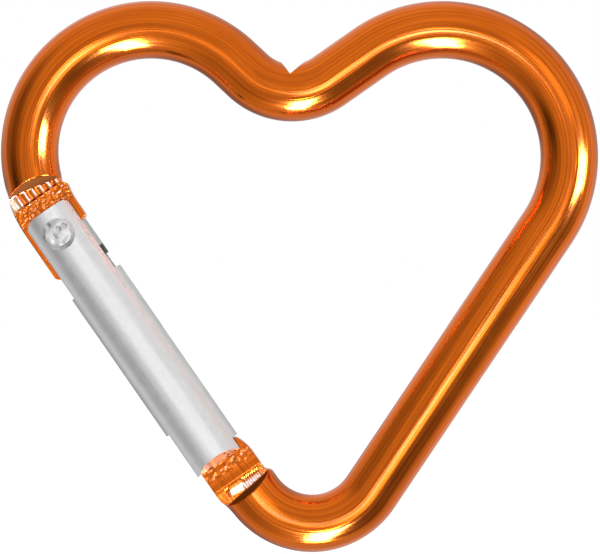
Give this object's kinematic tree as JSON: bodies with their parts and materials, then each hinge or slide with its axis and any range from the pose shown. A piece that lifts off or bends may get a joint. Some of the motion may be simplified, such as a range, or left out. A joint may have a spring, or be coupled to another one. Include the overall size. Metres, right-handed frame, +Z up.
{
  "type": "heart-shaped key carabiner",
  "caption": "Heart-shaped carabiner bent from round anodised rod, with coined tangs, a slotted spring gate that opens inward on a rivet, and open lobes for keys or a strap.",
  "frame": {"origin": "centre of the bounding box", "axes": "+X across the heart to the lobe away from the hinge, +Z up through the notch, -Y out of the front face"},
  "size_m": [0.0622, 0.0066, 0.0574],
  "materials": {
    "anodised_rod": "orange anodised, glossy",
    "bare_gate": "bare, drawn and tumbled",
    "rivet_metal": "bare, peened",
    "follower_steel": "plain, worn bright at the key",
    "spring_steel": "drawn spring wire"
  },
  "bodies": {
    "frame": {"body": "anodised_rod"},
    "gate": {"gate": "bare_gate", "rivet": "rivet_metal", "spring": "spring_steel"},
    "follower": {"follower": "follower_steel"}
  },
  "joints": [
    {"name": "gate_hinge", "type": "hinge", "parent": "frame", "child": "gate", "pos_m": [-0.02487, 0, 0.00436], "axis": [0, -1, 0], "range_deg": [0, 28], "stiffness_Nm_per_rad": 0.033, "springref_deg": -37.24},
    {"name": "follower_slide", "type": "slide", "parent": "gate", "child": "follower", "axis": [0.5695, 0, -0.822], "range_m": [0, 0.0016], "deforming": ["spring"]}
  ],
  "couplings": [
    {"joint": "follower_slide", "follows": "gate_hinge", "m_per_rad": 0.0031}
  ]
}
